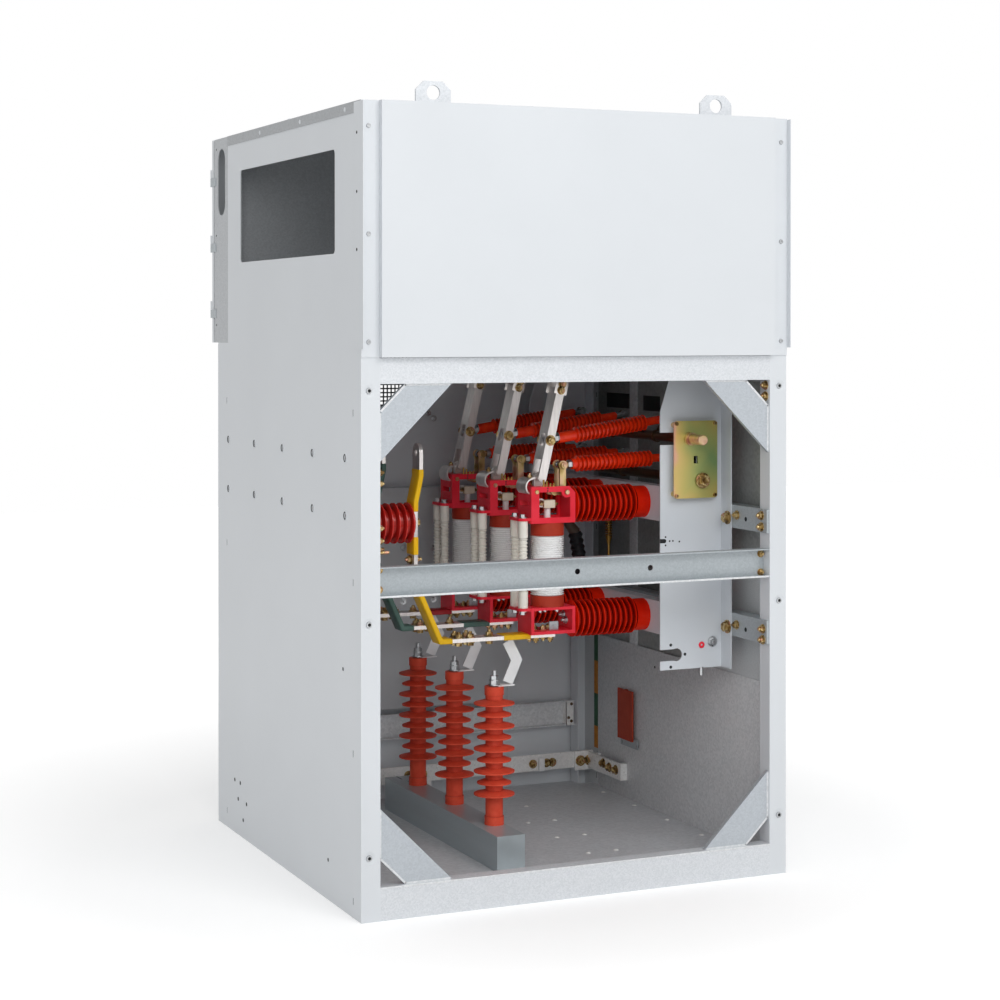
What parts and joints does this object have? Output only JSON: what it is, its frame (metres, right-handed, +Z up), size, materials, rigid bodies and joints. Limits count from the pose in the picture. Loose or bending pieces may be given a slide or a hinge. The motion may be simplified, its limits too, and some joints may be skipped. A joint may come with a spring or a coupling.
{
  "type": "ring main unit cubicle",
  "caption": "Free-standing metal-enclosed ring main unit cubicle, open at its lower service side, with vacuum switch poles, isolating blades, busbars, surge arresters and an instrument box.",
  "frame": {"origin": "centre of the overall box at floor level", "axes": "+X to the switch side, +Y to the operating front, +Z up"},
  "size_m": [0.963, 1.043, 1.645],
  "materials": {
    "cabinet_paint": "light grey powder coat",
    "aluzinc": "speckled zinc aluminium coat",
    "galvanised": "spangled zinc coat",
    "floor_steel": "dull zinc coat",
    "red_epoxy": "glossy cast resin",
    "crimson_frame": "satin moulded resin",
    "red_silicone": "satin silicone rubber",
    "ceramic": "glazed white",
    "cream_resin": "satin moulded resin",
    "tinned_copper": "tinned bar",
    "yellow_zinc": "iridescent yellow zinc",
    "zinc_bar": "yellow zinc bar",
    "wire_mesh": "galvanised wire",
    "white_sleeve": "white braided sleeve",
    "earth_sleeve": "green and yellow sleeve"
  },
  "bodies": {
    "cabinet": {"side_panel_left": "cabinet_paint", "side_panel_right": "cabinet_paint", "floor_plate": "floor_steel", "roof_panel": "cabinet_paint", "service_posts": "cabinet_paint", "front_posts": "cabinet_paint", "bottom_rail": "aluzinc", "middle_rail": "galvanised", "upper_rail": "aluzinc", "corner_gussets": "galvanised", "upper_cover": "cabinet_paint", "cover_side_strips": "cabinet_paint", "lifting_lugs": "cabinet_paint", "instrument_box": "cabinet_paint", "box_hinges": "galvanised", "front_panel": "cabinet_paint", "mesh_screen": "wire_mesh", "front_cross_channel": "galvanised", "mechanism_plate": "cabinet_paint", "busbar_partition": "cabinet_paint", "fixed_contacts": "red_epoxy", "switch_side_plates": "cabinet_paint", "switch_beams": "cabinet_paint", "wall_mounting_rails": "galvanised", "bearing_plate": "yellow_zinc", "pole_insulators": "red_epoxy", "upper_pole_frames": "crimson_frame", "lower_pole_frames": "crimson_frame", "interrupters": "ceramic", "interrupter_caps": "red_epoxy", "insulating_posts": "cream_resin", "blade_hinges": "tinned_copper", "busbars": "tinned_copper", "support_insulators": "red_epoxy", "arrester_base": "galvanised", "surge_arresters": "red_silicone", "arrester_straps": "white_sleeve", "earth_bar": "tinned_copper", "earth_strap": "earth_sleeve", "heater_plate": "red_silicone"},
    "blades": {"isolating_blades": "tinned_copper"},
    "blade_rods": {"blade_pull_rods": "red_epoxy"},
    "isolator": {"isolator_shaft": "zinc_bar"},
    "cranks": {"bell_cranks": "yellow_zinc"},
    "switch_rods": {"drive_rods": "red_epoxy"},
    "drive": {"drive_shaft": "zinc_bar"},
    "box_door": {"instrument_door": "cabinet_paint"}
  },
  "joints": [
    {"name": "isolator_turn", "type": "hinge", "parent": "cabinet", "child": "isolator", "pos_m": [0.341, -0.31405, 0.917], "axis": [0, -1, 0], "range_deg": [0, 75.2]},
    {"name": "blade_swing", "type": "hinge", "parent": "cabinet", "child": "blades", "pos_m": [0.044, 0.02395, 0.832], "axis": [0, -1, 0], "range_deg": [0, 40]},
    {"name": "blade_rod_pivot", "type": "hinge", "parent": "blades", "child": "blade_rods", "pos_m": [0.0629, 0.02395, 0.91385], "axis": [0, -1, 0], "range_deg": [-38.96, 0]},
    {"name": "drive_turn", "type": "hinge", "parent": "cabinet", "child": "drive", "pos_m": [0.372, -0.31405, 0.826], "axis": [0, 1, 0], "range_deg": [0, 23.3]},
    {"name": "crank_swing", "type": "hinge", "parent": "cabinet", "child": "cranks", "pos_m": [0.096, 0.02395, 0.802], "axis": [0, 1, 0], "range_deg": [0, 17.99]},
    {"name": "switch_rod_pivot", "type": "hinge", "parent": "cranks", "child": "switch_rods", "pos_m": [0.096, 0.02395, 0.859], "axis": [0, 1, 0], "range_deg": [-18.03, 0]},
    {"name": "box_door_hinge", "type": "hinge", "parent": "cabinet", "child": "box_door", "pos_m": [-0.4735, 0.51355, 1.36], "axis": [0, 0, 1], "range_deg": [0, 110]}
  ],
  "couplings": [
    {"joint": "blade_swing", "follows": "isolator_turn", "ratio": 0.53191},
    {"joint": "blade_rod_pivot", "follows": "isolator_turn", "ratio": -0.51809},
    {"joint": "crank_swing", "follows": "drive_turn", "ratio": 0.7722},
    {"joint": "switch_rod_pivot", "follows": "drive_turn", "ratio": -0.77375}
  ]
}
